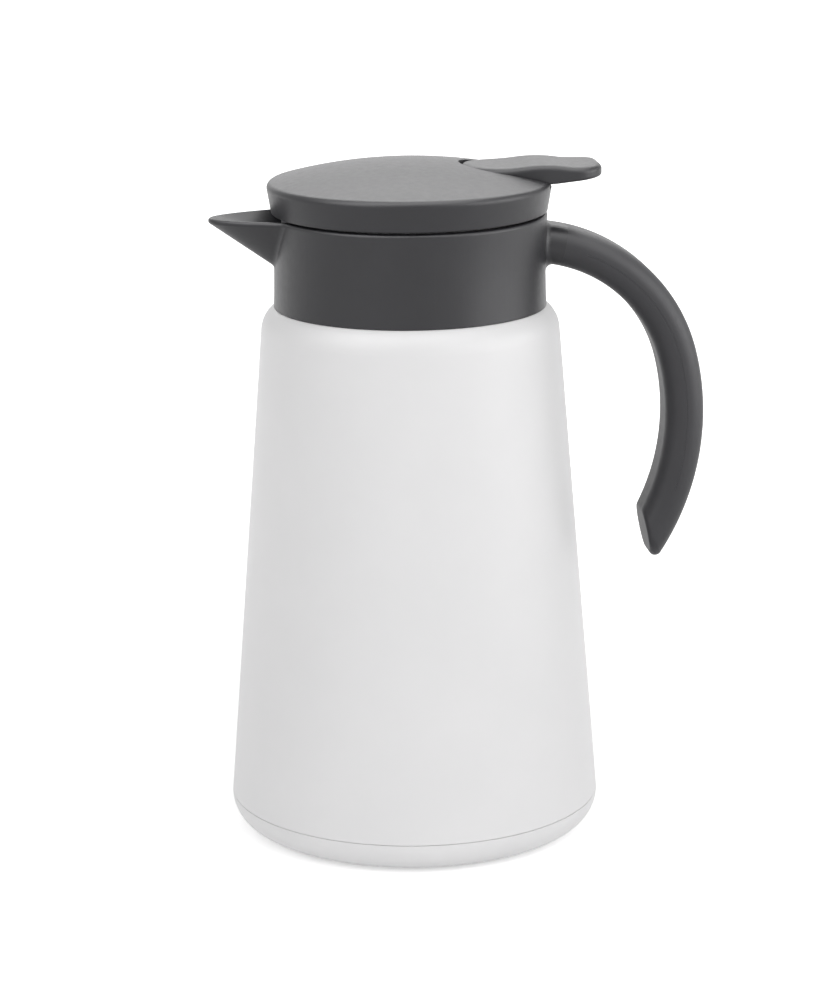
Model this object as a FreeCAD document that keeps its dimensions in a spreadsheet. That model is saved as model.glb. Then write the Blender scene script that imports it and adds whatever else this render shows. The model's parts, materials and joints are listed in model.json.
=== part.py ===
import FreeCAD, Part
import math
import os
import Sketcher
from types import SimpleNamespace
from FreeCAD import Placement, Rotation, Vector

# A thermal carafe of about one litre, in millimetres and degrees. The origin is on the axis at the
# foot, +Z is up, the spout points to -X, and the handle and the thumb lever point to +X.

SIZES = {
    # Steel body
    "body_foot_radius": 62.5,
    "body_top_radius": 48.2,
    "shoulder_height": 177.7,
    "shoulder_round": 9.7,
    "shell_wall": 0.6,
    "neck_radius": 38.6,
    "neck_height": 8.3,
    "bead_proud": 0.6,
    "bead_height": 2.6,
    "bead_lift": 2.2,
    "skirt_inset": 1.4,
    "skirt_foot": 8.0,
    "seam_height": 10.8,
    "seam_gap": 0.15,
    # Steel liner and the bottom of the vacuum jacket
    "vacuum_gap": 5.0,
    "liner_wall": 0.5,
    "liner_neck_gap": 1.2,
    "liner_flange": 0.6,
    "liner_floor": 14.0,
    "liner_foot_round": 12.0,
    "liner_shoulder_drop": 5.4,
    "liner_shoulder_round": 3.6,
    "liner_neck_round": 2.6,
    "plate_wall": 0.8,
    "plate_flange": 2.8,
    "weld_gap": 0.05,
    "pump_hole_radius": 1.5,
    "pump_bead_radius": 3.2,
    "pump_bead_height": 1.1,
    "getter_radius": 5.0,
    "getter_height": 2.2,
    "getter_offset": 26.0,
    # Foot
    "foot_reach": 9.37,
    "foot_inner_round": 6.0,
    "cap_floor": 0.9,
    "cap_clearance": 0.1,
    "pad_inset": 5.46,
    "pad_height": 1.4,
    "pad_proud": 0.6,
    "pad_clearance": 0.2,
    # Collar
    "collar_skirt": 1.4,
    "collar_foot_rise": 2.0,
    "collar_foot_radius": 44.6,
    "collar_waist_radius": 44.3,
    "collar_top_radius": 44.9,
    "collar_wall": 2.6,
    "neck_clearance": 0.15,
    "sleeve_wall": 1.7,
    "mouth_gasket_height": 1.0,
    "ledge_height": 1.5,
    "thread_zone": 8.5,
    "deck_ring": 3.4,
    "basin_depth": 8.9,
    "basin_radius": 41.9,
    # Screw thread between collar and stopper
    "barrel_radius": 36.4,
    "thread_clearance": 0.4,
    "thread_depth": 1.6,
    "thread_root_width": 1.9,
    "thread_crest_width": 1.2,
    "thread_lead": 18.0,
    "thread_arc": 70.0,
    "thread_lift": 1.5,
    "thread_offset": 2.5,
    "thread_bite": 0.3,
    # Spout
    "spout_reach": 67.5,
    "spout_back": 30.0,
    "spout_back_half_width": 19.5,
    "spout_keel_drop": 26.5,
    "spout_lip": 2.6,
    "collar_rim_round": 1.0,
    "spout_channel_half_width": 17.4,
    "spout_channel_drop": 13.8,
    # Handle
    "handle_start": 38.3,
    "handle_drop": 10.6,
    "handle_bend_radius": 51.5,
    "handle_grip_radius": 80.0,
    "handle_thickness": 12.9,
    "handle_width": 20.0,
    "handle_corner": 6.0,
    "handle_wall": 2.2,
    "handle_split_angle": 13.0,
    "handle_cover_angle": 21.0,
    "handle_bend_angle": 75.4,
    "handle_tip_angle": 108.0,
    "handle_end_inner_run": 10.783,
    "handle_end_outer_run": 27.9135,
    "handle_end_over_angle": 4.5,
    "handle_end_round": 2.0,
    "collar_root_round": 2.2,
    "handle_parting": 0.05,
    "tongue_thickness": 1.2,
    "tongue_height": 1.0,
    "spigot_angle": 7.5,
    "spigot_clearance": 0.25,
    "handle_screw_angle": 17.0,
    "handle_screw_radius": 1.5,
    "handle_screw_length": 8.0,
    "handle_screw_head_radius": 2.4,
    "handle_screw_head": 1.4,
    # Lid
    "lid_gap": 0.7,
    "lid_foot_radius": 44.9,
    "lid_rim_radius": 46.5,
    "lid_side_height": 9.5,
    "lid_dome_rise": 6.55,
    "lid_wall": 2.2,
    "lid_edge_round": 2.0,
    "lid_foot_round": 0.4,
    "lid_boss_radius": 3.2,
    "lid_screw_circle": 27.0,
    "lid_screw_radius": 1.25,
    "lid_screw_length": 8.0,
    "lid_screw_head_radius": 2.5,
    "lid_screw_head": 1.8,
    "screw_clearance": 0.05,
    "deck_thickness": 2.2,
    "deck_clearance": 0.15,
    # Stopper
    "barrel_wall": 2.4,
    "barrel_lift": 0.8,
    "window_width": 22.0,
    "window_height": 5.0,
    "window_lift": 0.8,
    "base_flange_radius": 35.6,
    "base_floor": 2.4,
    "base_spigot_height": 12.9,
    "base_wall": 1.8,
    "base_clearance": 0.1,
    "gasket_height": 6.6,
    "gasket_seat_clearance": 0.1,
    "gasket_groove": 0.8,
    "gasket_lip": 1.8,
    "running_clearance": 0.05,
    "seal_clearance": 0.3,
    "rim_seal_height": 3.5,
    "rim_seal_width": 2.0,
    # Pouring valve
    "port_radius": 13.0,
    "valve_seat_clearance": 0.15,
    "valve_seal_height": 0.8,
    "valve_seal_width": 4.0,
    "valve_overlap": 3.0,
    "valve_disc_height": 2.0,
    "stem_radius": 2.5,
    "stem_flange_radius": 4.4,
    "stem_flange_height": 1.2,
    "stem_tip_radius": 1.6,
    "stem_tail": 2.8,
    "clip_radius": 4.6,
    "clip_height": 1.2,
    "head_radius": 5.4,
    "head_height": 1.5,
    "head_clearance": 0.6,
    "stem_boss_radius": 7.6,
    "stem_boss_depth": 4.0,
    "gland_radius": 4.6,
    "gland_depth": 4.2,
    "stem_seal_height": 2.0,
    "spring_radius": 6.0,
    "spring_wire": 0.5,
    "spring_clearance": 0.1,
    # Thumb lever
    "lever_pivot_reach": 38.9,
    "lever_pivot_lift": 3.5,
    "lever_pin_radius": 1.2,
    "lever_gap": 0.8,
    "lever_half_width": 13.0,
    "lever_tip_reach": 17.0,
    "lever_end_reach": 62.4,
    "lever_corner": 9.0,
    "lever_tip_drop": 0.95,
    "lever_tip_thickness": 2.6,
    "lever_dish_radius": 75.0,
    "lever_wave_radius": 50.0,
    "lever_end_radius": 36.0,
    "lever_wave_start_inset": 26.4,
    "lever_wave_start_drop": 1.15,
    "lever_wave_end_inset": 11.9,
    "lever_wave_end_drop": 1.5,
    "lever_end_drop": 0.85,
    "lever_end_thickness": 4.5,
    "lever_rim_drop": 6.95,
    "lever_belly_drop": 7.45,
    "lever_top_round": 2.0,
    "lever_foot_round": 1.0,
    "lug_bite": 0.4,
    "notch_drop": 2.0,
    "lug_half_width": 10.0,
    "lug_radius": 2.6,
    "post_thickness": 2.0,
    "post_gap": 0.5,
    "post_half_length": 1.9,
    "post_height": 5.3,
    "arm_half_width": 6.5,
    "arm_thickness": 2.5,
    "arm_lift": 0.5,
    "arm_root_rise": 4.6,
    "fork_reach": 2.4,
    "fork_clearance": 0.6,
    # All cuts run past the material by this much
    "overrun": 5.0,
}
SPRING_TURNS = 5
THREAD_STARTS = 3
WINDOW_COUNT = 6
LID_SCREW_ANGLES = (90, 180, 270)
FULL_TURN = 360
BOSS_DOME_SHARE = 0.34
SLANT_OVERRUN_SHARE = 0.5
# One radian in degrees
RADIAN = 180 / math.pi
STEPS_PER_TURN = 4
MATCH_SHARE = 1e-4
LEFT, RIGHT = 1, -1
START, END, CENTRE = 1, 2, 3


class Size:
    """A number together with the expression that gives it in the document."""

    def __init__(self, value, text):
        self.value = value
        self.text = text

    @staticmethod
    def of(thing):
        return thing if isinstance(thing, Size) else Size(float(thing), repr(thing))

    def join(self, sign, value, other):
        return Size(value, f"({self.text} {sign} {other.text})")

    def __add__(self, other):
        other = Size.of(other)
        return self.join("+", self.value + other.value, other)

    def __sub__(self, other):
        other = Size.of(other)
        return self.join("-", self.value - other.value, other)

    def __mul__(self, other):
        other = Size.of(other)
        return self.join("*", self.value * other.value, other)

    def __truediv__(self, other):
        other = Size.of(other)
        return self.join("/", self.value / other.value, other)

    def __neg__(self):
        return Size(-self.value, f"(-{self.text})")

    def sin(self):
        return Size(math.sin(math.radians(self.value)), f"sin({self.text})")

    def cos(self):
        return Size(math.cos(math.radians(self.value)), f"cos({self.text})")


doc = FreeCAD.newDocument("thermal_carafe")
sheet = doc.addObject("Spreadsheet::Sheet", "Sizes")
for row, (name, amount) in enumerate(SIZES.items(), start=1):
    sheet.set(f"A{row}", name)
    sheet.set(f"B{row}", str(amount))
    sheet.setAlias(f"B{row}", name)
doc.recompute()
size = SimpleNamespace(**{name: Size(float(sheet.get(name)), f"Sizes.{name}") for name in SIZES})
parts = []


# Building helpers

def bind(target, path, amount):
    target.setExpression(path, Size.of(amount).text)


def new_body(label, piece=True):
    body = doc.addObject("PartDesign::Body", label)
    body.Label = label
    if piece:
        parts.append(body)
    return body


def finish(feature, label):
    feature.Label = label
    parts.append(feature)
    return feature


def put(target, across=0, up=0, turn=0):
    """Set a piece's frame in the plane of the handle: its origin and its turn about Y."""
    target.Placement = Placement(Vector(), Rotation(Vector(0, 1, 0), Size.of(turn).value))
    bind(target, "Placement.Base.x", across)
    bind(target, "Placement.Base.z", up)
    bind(target, "Placement.Rotation.Angle", turn)


def new_sketch(body, role="XZ_Plane", offset=None):
    sketch = body.newObject("Sketcher::SketchObject", f"{body.Name}_sketch")
    plane = next(face for face in body.Origin.OriginFeatures if face.Role == role)
    sketch.AttachmentSupport = [(plane, "")]
    sketch.MapMode = "FlatFace"
    if offset is not None:
        bind(sketch, "AttachmentOffset.Base.z", offset)
    return sketch


def pin_point(sketch, side, end, across, up):
    """Hold one point of a sketch at its two coordinates."""
    for kind, axis, amount in (("DistanceX", -2, Size.of(across)), ("DistanceY", -1, Size.of(up))):
        if amount.value == 0:
            sketch.addConstraint(Sketcher.Constraint("PointOnObject", side, end, axis))
        else:
            index = sketch.addConstraint(Sketcher.Constraint(kind, -1, 1, side, end, amount.value))
            bind(sketch, f"Constraints[{index}]", amount)


def flat(corner):
    return Vector(Size.of(corner[0]).value, Size.of(corner[1]).value, 0)


def add_arc(sketch, start, end, radius, turn):
    """Add an arc of less than a half circle that turns left or right on its way."""
    first, last = (start, end) if turn == LEFT else (end, start)
    chord = last - first
    height = math.sqrt(max(radius.value ** 2 - (chord.Length / 2) ** 2, 0))
    centre = (first + last) / 2 + Vector(-chord.y, chord.x, 0) / chord.Length * height
    angles = [math.atan2(point.y - centre.y, point.x - centre.x) for point in (first, last)]
    circle = Part.Circle(centre, Vector(0, 0, 1), radius.value)
    side = sketch.addGeometry(Part.ArcOfCircle(circle, *angles))
    index = sketch.addConstraint(Sketcher.Constraint("Radius", side, radius.value))
    bind(sketch, f"Constraints[{index}]", radius)
    return (side, START, END) if turn == LEFT else (side, END, START)


def draw(sketch, corners, closed=True):
    """Draw an outline; a corner (across, up, radius, turn) ends an arc instead of a line."""
    sides = []
    for index in range(0 if closed else 1, len(corners)):
        start, end = flat(corners[index - 1]), flat(corners[index])
        if len(corners[index]) == 2:
            side = (sketch.addGeometry(Part.LineSegment(start, end)), START, END)
        else:
            side = add_arc(sketch, start, end, *corners[index][2:])
        pin_point(sketch, side[0], side[2], *corners[index][:2])
        sides.append(side)
    if not closed:
        pin_point(sketch, sides[0][0], sides[0][1], *corners[0][:2])
    for index in range(0 if closed else 1, len(sides)):
        before, after = sides[index - 1], sides[index]
        sketch.addConstraint(Sketcher.Constraint("Coincident", before[0], before[2], after[0], after[1]))


def draw_circle(sketch, across, up, radius):
    side = sketch.addGeometry(Part.Circle(flat((across, up)), Vector(0, 0, 1), radius.value))
    index = sketch.addConstraint(Sketcher.Constraint("Radius", side, radius.value))
    bind(sketch, f"Constraints[{index}]", radius)
    pin_point(sketch, side, CENTRE, across, up)


def box_corners(left, right, low, high):
    return [(left, low), (right, low), (right, high), (left, high)]


def revolve(body, corners, cut=False, role="XZ_Plane"):
    """Turn an outline of (radius, height) about the axis of the body."""
    sketch = new_sketch(body, role)
    draw(sketch, corners)
    feature = body.newObject("PartDesign::Groove" if cut else "PartDesign::Revolution", "turned")
    feature.Profile = sketch
    feature.ReferenceAxis = (sketch, ["V_Axis"])
    feature.Angle = FULL_TURN
    return feature


def swing(body, sketch, angle, back=False):
    """Sweep a section about the Y axis through the body's origin."""
    feature = body.newObject("PartDesign::Revolution", "swung")
    feature.Profile = sketch
    feature.ReferenceAxis = (sketch, ["H_Axis"])
    bind(feature, "Angle", angle)
    feature.Reversed = back
    return feature


def extrude(body, sketch, length, cut=False, both=True, back=False):
    feature = body.newObject("PartDesign::Pocket" if cut else "PartDesign::Pad", "extruded")
    feature.Profile = sketch
    feature.SideType = "Symmetric" if both else "One side"
    bind(feature, "Length", length)
    feature.Reversed = back
    return feature


def edge_names(shape, chosen):
    whole = [(number, edge) for number, edge in enumerate(shape.Edges, start=1) if not edge.Degenerated]
    return [f"Edge{number}" for number, edge in whole if chosen(edge)]


def round_edges(body, radius, chosen):
    """Round the edges of the body that the test picks."""
    doc.recompute()
    base = body.Tip
    fillet = body.newObject("PartDesign::Fillet", "rounded")
    fillet.Base = (base, edge_names(base.Shape, chosen))
    bind(fillet, "Radius", radius)
    return fillet


def rounded_shape(base, radius, chosen):
    """Round the picked edges of a joined shape."""
    doc.recompute()
    fillet = doc.addObject("Part::Fillet", f"{base.Name}_rounded")
    fillet.Base = base
    numbers = [int(name[len("Edge"):]) for name in edge_names(base.Shape, chosen)]
    fillet.Edges = [(number, radius.value, radius.value) for number in numbers]
    return fillet


def near(first, second):
    return abs(first - Size.of(second).value) < size.shoulder_height.value * MATCH_SHARE


def ring_at(radius, height):
    """Pick the round edge with this radius at this height."""
    def chosen(edge):
        if not isinstance(edge.Curve, Part.Circle):
            return False
        return near(edge.Curve.Radius, radius) and near(edge.Curve.Center.z, height)
    return chosen


def any_of(*tests):
    return lambda edge: any(test(edge) for test in tests)


def fuse(name, *members):
    joined = doc.addObject("Part::MultiFuse", name)
    joined.Shapes = list(members)
    joined.Refine = True
    return joined


def cut(name, base, tool):
    left = doc.addObject("Part::Cut", name)
    left.Base = base
    left.Tool = tool
    left.Refine = True
    return left


def ring(label, inner, outer, low, high, piece=True):
    body = new_body(label, piece)
    revolve(body, box_corners(inner, outer, low, high))
    return body


# Heights above the table, from the foot up

shoulder_top = size.shoulder_height
neck_top = shoulder_top + size.neck_height
mouth_top = neck_top + size.liner_flange
ledge_foot = mouth_top + size.mouth_gasket_height
ledge_top = ledge_foot + size.ledge_height
basin_floor = ledge_top + size.thread_zone
collar_top = basin_floor + size.basin_depth
collar_foot = shoulder_top - size.collar_skirt
lid_foot = collar_top + size.lid_gap
deck_top = lid_foot + size.deck_thickness
lid_rim = lid_foot + size.lid_side_height
lid_top = lid_rim + size.lid_dome_rise


def body_radius(height):
    """Outer radius of the tapered body at a height."""
    return size.body_foot_radius - (size.body_foot_radius - size.body_top_radius) * height / shoulder_top


# Steel body, liner and the parts of the vacuum jacket

seam_top = size.seam_height + size.seam_gap
skirt_radius = body_radius(seam_top) - size.skirt_inset
neck_inner_radius = size.neck_radius - size.shell_wall
bead_foot = shoulder_top + size.bead_lift
bead_top = bead_foot + size.bead_height
bead_radius = size.neck_radius + size.bead_proud


def make_outer_shell():
    body = new_body("outer_shell")
    step_top = seam_top + size.shell_wall
    under_shoulder = shoulder_top - size.shell_wall
    inner_top_radius = size.body_top_radius - size.shell_wall
    revolve(body, [
        (skirt_radius, size.skirt_foot), (skirt_radius, seam_top), (body_radius(seam_top), seam_top),
        (size.body_top_radius, shoulder_top), (size.neck_radius, shoulder_top),
        (size.neck_radius, bead_foot), (bead_radius, bead_foot + size.bead_proud),
        (bead_radius, bead_top - size.bead_proud), (size.neck_radius, bead_top),
        (size.neck_radius, neck_top), (neck_inner_radius, neck_top),
        (neck_inner_radius, under_shoulder), (inner_top_radius, under_shoulder),
        (body_radius(step_top) - size.shell_wall, step_top),
        (skirt_radius - size.shell_wall, step_top), (skirt_radius - size.shell_wall, size.skirt_foot),
    ])
    round_edges(body, size.shoulder_round, ring_at(size.body_top_radius, shoulder_top))
    round_edges(body, size.shoulder_round - size.shell_wall, ring_at(inner_top_radius, under_shoulder))


liner_neck_radius = neck_inner_radius - size.liner_neck_gap
mouth_radius = liner_neck_radius - size.liner_wall


def liner_radius(height):
    return body_radius(height) - size.shell_wall - size.vacuum_gap


def make_inner_flask():
    body = new_body("inner_flask")
    shoulder = shoulder_top - size.liner_shoulder_drop
    under_shoulder = shoulder - size.liner_wall
    floor_top = size.liner_floor + size.liner_wall
    inner_top_radius = liner_radius(shoulder) - size.liner_wall
    inner_foot_radius = liner_radius(size.liner_floor) - size.liner_wall
    revolve(body, [
        (0, size.liner_floor), (liner_radius(size.liner_floor), size.liner_floor),
        (liner_radius(shoulder), shoulder), (liner_neck_radius, shoulder),
        (liner_neck_radius, neck_top), (size.neck_radius, neck_top),
        (size.neck_radius, mouth_top), (mouth_radius, mouth_top),
        (mouth_radius, under_shoulder), (inner_top_radius, under_shoulder),
        (inner_foot_radius, floor_top), (0, floor_top),
    ])
    round_edges(body, size.liner_foot_round, ring_at(liner_radius(size.liner_floor), size.liner_floor))
    round_edges(body, size.liner_foot_round - size.liner_wall, ring_at(inner_foot_radius, floor_top))
    round_edges(body, size.liner_shoulder_round, ring_at(liner_radius(shoulder), shoulder))
    round_edges(body, size.liner_shoulder_round - size.liner_wall, ring_at(inner_top_radius, under_shoulder))
    round_edges(body, size.liner_neck_round - size.liner_wall, ring_at(liner_neck_radius, shoulder))
    round_edges(body, size.liner_neck_round, ring_at(mouth_radius, under_shoulder))


plate_top = size.skirt_foot + size.plate_wall


def make_base_plate():
    rim_radius = skirt_radius - size.shell_wall - size.weld_gap
    inner_radius = rim_radius - size.plate_wall
    flange_top = size.skirt_foot + size.plate_flange
    revolve(new_body("base_plate"), [
        (size.pump_hole_radius, size.skirt_foot), (rim_radius, size.skirt_foot), (rim_radius, flange_top),
        (inner_radius, flange_top), (inner_radius, plate_top), (size.pump_hole_radius, plate_top),
    ])


def make_evacuation_seal():
    plug_radius = size.pump_hole_radius - size.weld_gap
    bead_low = size.skirt_foot - size.pump_bead_height
    body = new_body("evacuation_seal")
    revolve(body, [
        (0, bead_low), (size.pump_bead_radius, bead_low), (size.pump_bead_radius, size.skirt_foot),
        (plug_radius, size.skirt_foot), (plug_radius, plate_top), (0, plate_top),
    ])
    round_edges(body, size.pump_bead_height / 2, ring_at(size.pump_bead_radius, bead_low))


def make_getter():
    pellet = doc.addObject("Part::Cylinder", "getter_pellet")
    bind(pellet, "Radius", size.getter_radius)
    bind(pellet, "Height", size.getter_height)
    bind(pellet, "Placement.Base.x", size.getter_offset)
    bind(pellet, "Placement.Base.z", plate_top)
    finish(pellet, "getter")


# Foot

foot_start = body_radius(size.seam_height) - size.foot_reach
pad_radius = foot_start - size.pad_inset


def make_base_cap():
    recess_radius = pad_radius + size.pad_clearance
    inner_radius = skirt_radius + size.cap_clearance
    floor_top = size.pad_height + size.cap_floor
    foot_rise = size.seam_height - size.pad_proud
    foot_curve = (size.foot_reach * size.foot_reach + foot_rise * foot_rise) / foot_rise / 2
    revolve(new_body("base_cap"), [
        (0, size.pad_height), (recess_radius, size.pad_height), (recess_radius, size.pad_proud),
        (foot_start, size.pad_proud), (body_radius(size.seam_height), size.seam_height, foot_curve, LEFT),
        (inner_radius, size.seam_height), (inner_radius, floor_top + size.foot_inner_round),
        (inner_radius - size.foot_inner_round, floor_top, size.foot_inner_round, RIGHT), (0, floor_top),
    ])


def make_base_pad():
    body = new_body("base_pad")
    revolve(body, [(0, 0), (pad_radius, 0), (pad_radius, size.pad_height), (0, size.pad_height)])


# Screw thread

def thread_ridges(name, root_radius, crest_radius, low):
    """Ridges of a multi-start right-hand thread, from a root radius to a crest radius."""
    outward = 1 if crest_radius.value > root_radius.value else -1
    sunk = root_radius.value - outward * size.thread_bite.value
    middle = low.value
    half_root = size.thread_root_width.value / 2
    half_crest = size.thread_crest_width.value / 2
    section = Part.makePolygon([
        Vector(sunk, 0, middle - half_root), Vector(crest_radius.value, 0, middle - half_crest),
        Vector(crest_radius.value, 0, middle + half_crest), Vector(sunk, 0, middle + half_root),
        Vector(sunk, 0, middle - half_root)])
    rise = size.thread_lead.value * size.thread_arc.value / FULL_TURN
    helix = Part.makeHelix(size.thread_lead.value, rise, root_radius.value)
    helix.translate(Vector(0, 0, middle))
    ridge = Part.Wire(helix.Edges).makePipeShell([section], True, True)
    turned = []
    for start in range(THREAD_STARTS):
        copy = ridge.copy()
        copy.rotate(Vector(), Vector(0, 0, 1), start * FULL_TURN / THREAD_STARTS)
        turned.append(copy)
    feature = doc.addObject("Part::Feature", name)
    feature.Shape = Part.makeCompound(turned)
    return feature


barrel_crest = size.barrel_radius + size.thread_depth
collar_root = barrel_crest + size.thread_clearance
collar_crest = size.barrel_radius + size.thread_clearance
barrel_thread_low = ledge_top + size.thread_lift
collar_thread_low = barrel_thread_low + size.thread_offset


# Collar with spout and handle root

handle_half = size.handle_thickness / 2
handle_side = size.handle_width / 2
handle_centre_height = collar_top - size.handle_drop - size.handle_bend_radius


def section_corners(side, inner, outer, corner):
    """Rounded box round the handle's line, from the inner to the outer reach."""
    turn_in, turn_out = inner + corner, outer - corner
    flat_side = side - corner
    return [
        (-flat_side, inner, corner, LEFT), (flat_side, inner), (side, turn_in, corner, LEFT),
        (side, turn_out), (flat_side, outer, corner, LEFT), (-flat_side, outer),
        (-side, turn_out, corner, LEFT), (-side, turn_in),
    ]


def spout_cone(name, reach, half_width, drop, over):
    """Cone from a keel point to a rim whose plan is a parabola, run on above the rim by over."""
    apex = Vector(-size.spout_back.value, 0, (collar_top - drop).value)
    rim = collar_top.value
    stretch = 1 + over.value / drop.value
    tip = 2 * reach.value - size.spout_back.value
    poles = [
        Vector(-size.spout_back.value, -half_width.value, rim), Vector(-tip, 0, rim),
        Vector(-size.spout_back.value, half_width.value, rim)]
    poles = [apex + (pole - apex) * stretch for pole in poles]
    edge = Part.BezierCurve()
    edge.setPoles(poles)
    wire = Part.Wire([edge.toShape(), Part.makeLine(poles[-1], poles[0])])
    feature = doc.addObject("Part::Feature", name)
    feature.Shape = Part.makeLoft([wire, Part.Vertex(apex)], True, True)
    return feature


def make_neck_collar():
    core = new_body("collar_core", piece=False)
    waist = (collar_foot + collar_top) / 2
    waist_rise = collar_top - waist
    sag = (size.collar_foot_radius + size.collar_top_radius) / 2 - size.collar_waist_radius
    waist_curve = (waist_rise * waist_rise + sag * sag) / sag / 2
    foot_inner = size.collar_foot_radius - size.collar_wall
    revolve(core, [
        (0, collar_foot + size.collar_foot_rise), (foot_inner, collar_foot + size.collar_foot_rise),
        (size.collar_foot_radius, collar_foot),
        (size.collar_top_radius, collar_top, waist_curve, RIGHT), (0, collar_top),
    ], role="YZ_Plane")

    stub = new_body("handle_stub", piece=False)
    put(stub, size.handle_start, handle_centre_height, size.handle_split_angle)
    stub_section = new_sketch(stub, "YZ_Plane")
    draw(stub_section, section_corners(handle_side, size.handle_bend_radius - handle_half,
                                       size.handle_bend_radius + handle_half, size.handle_corner))
    swing(stub, stub_section, size.handle_split_angle, back=True)

    spout = spout_cone("spout_outside", size.spout_reach, size.spout_back_half_width,
                       size.spout_keel_drop, Size.of(0))
    joined = fuse("collar_joined", core, stub, spout)
    rooted = rounded_shape(joined, size.collar_root_round, collar_root_edges)
    rounded = rounded_shape(rooted, size.collar_rim_round, collar_rim_edges)

    void = new_body("collar_void", piece=False)
    sleeve_bore = size.neck_radius + size.neck_clearance
    sleeve_foot = shoulder_top + size.seal_clearance
    under = collar_foot - size.overrun
    over = collar_top + size.overrun
    revolve(void, [
        (0, under), (sleeve_bore, under), (sleeve_bore, bead_foot - size.neck_clearance),
        (bead_radius + size.neck_clearance, bead_foot - size.neck_clearance),
        (bead_radius + size.neck_clearance, bead_top + size.neck_clearance),
        (sleeve_bore, bead_top + size.neck_clearance), (sleeve_bore, ledge_foot),
        (collar_crest, ledge_foot), (collar_crest, ledge_top), (collar_root, ledge_top),
        (collar_root, basin_floor), (size.basin_radius, basin_floor), (size.basin_radius, over), (0, over),
    ])
    sleeve_outer = sleeve_bore + size.sleeve_wall
    pocket = new_body("collar_pocket", piece=False)
    revolve(pocket, box_corners(sleeve_outer, size.collar_foot_radius - size.collar_wall, under,
                                basin_floor - size.deck_ring))
    sleeve_end = new_body("collar_sleeve_end", piece=False)
    revolve(sleeve_end, box_corners(0, sleeve_outer, under, sleeve_foot))
    channel = spout_cone("spout_inside", size.spout_reach - size.spout_lip, size.spout_channel_half_width,
                         size.spout_channel_drop, size.overrun)
    hollow = cut("collar_hollow", rounded, fuse("collar_cuts", void, pocket, sleeve_end, channel))

    spigot = new_body("handle_spigot", piece=False)
    put(spigot, size.handle_start, handle_centre_height, size.handle_split_angle)
    spigot_section = new_sketch(spigot, "YZ_Plane")
    gap = size.handle_wall + size.spigot_clearance
    draw(spigot_section, section_corners(handle_side - gap, size.handle_bend_radius - handle_half + gap,
                                         size.handle_bend_radius + handle_half - gap,
                                         size.handle_corner - gap))
    swing(spigot, spigot_section, size.spigot_angle)
    bored = cut("collar_bored", fuse("collar_with_spigot", hollow, spigot), handle_screw_bore)
    ridges = thread_ridges("collar_ridges", collar_root, collar_crest, collar_thread_low)
    finish(fuse("collar_whole", bored, ridges), "neck_collar")


def collar_root_edges(edge):
    """Pick the edges where the handle's root and the spout meet the collar's outer face."""
    box = edge.BoundBox
    if not isinstance(edge.Curve, Part.BSplineCurve):
        return False
    return box.ZMin > collar_foot.value and box.XMax < size.collar_top_radius.value


def collar_rim_edges(edge):
    """Pick the border of the collar's top face, round the spout too."""
    box = edge.BoundBox
    return near(box.ZMin, collar_top) and near(box.ZMax, collar_top)


def make_mouth_gasket():
    ring("mouth_gasket", mouth_radius + size.seal_clearance, size.neck_radius, mouth_top, ledge_foot)


# Handle

def make_handle_screw_bore():
    """Stepped hole for the handle screw, along a radius of the handle's bend."""
    body = new_body("handle_screw_bore", piece=False)
    put(body, size.handle_start, handle_centre_height, size.handle_screw_angle)
    head_radius = size.handle_screw_head_radius + size.screw_clearance
    shank_radius = size.handle_screw_radius + size.screw_clearance
    low = size.handle_bend_radius - handle_half
    revolve(body, [
        (0, low - size.overrun), (head_radius, low - size.overrun),
        (head_radius, low + size.handle_screw_head), (shank_radius, low + size.handle_screw_head),
        (shank_radius, low + size.handle_screw_length), (0, low + size.handle_screw_length),
    ])
    return body


def make_handle_screw():
    body = new_body("handle_screw")
    put(body, size.handle_start, handle_centre_height, size.handle_screw_angle)
    low = size.handle_bend_radius - handle_half + size.screw_clearance
    head_top = low + size.handle_screw_head - size.screw_clearance
    top = low + size.handle_screw_length - size.screw_clearance * 2
    revolve(body, [
        (0, low), (size.handle_screw_head_radius, low), (size.handle_screw_head_radius, head_top),
        (size.handle_screw_radius, head_top), (size.handle_screw_radius, top), (0, top),
    ])


def handle_path(body):
    """Line of the handle after the cover's start, in the frame of the bend."""
    bend = size.handle_bend_angle - size.handle_cover_angle
    end = size.handle_tip_angle - size.handle_cover_angle
    shift = size.handle_bend_radius - size.handle_grip_radius
    path = new_sketch(body)
    draw(path, [
        (0, size.handle_bend_radius),
        (size.handle_bend_radius * bend.sin(), size.handle_bend_radius * bend.cos(),
         size.handle_bend_radius, RIGHT),
        (shift * bend.sin() + size.handle_grip_radius * end.sin(),
         shift * bend.cos() + size.handle_grip_radius * end.cos(), size.handle_grip_radius, RIGHT),
    ], closed=False)
    return path


def sweep_handle(body, corners):
    section = new_sketch(body, "YZ_Plane")
    draw(section, corners)
    path = handle_path(body)
    pipe = body.newObject("PartDesign::AdditivePipe", "swept")
    pipe.Profile = section
    pipe.Spine = (path, ["Edge1", "Edge2"])


handle_low = size.handle_bend_radius - handle_half
handle_high = size.handle_bend_radius + handle_half
parting_height = size.handle_bend_radius - size.handle_parting / 2
inner_side = handle_side - size.handle_wall
inner_corner = size.handle_corner - size.handle_wall
flat_side = handle_side - size.handle_corner


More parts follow.
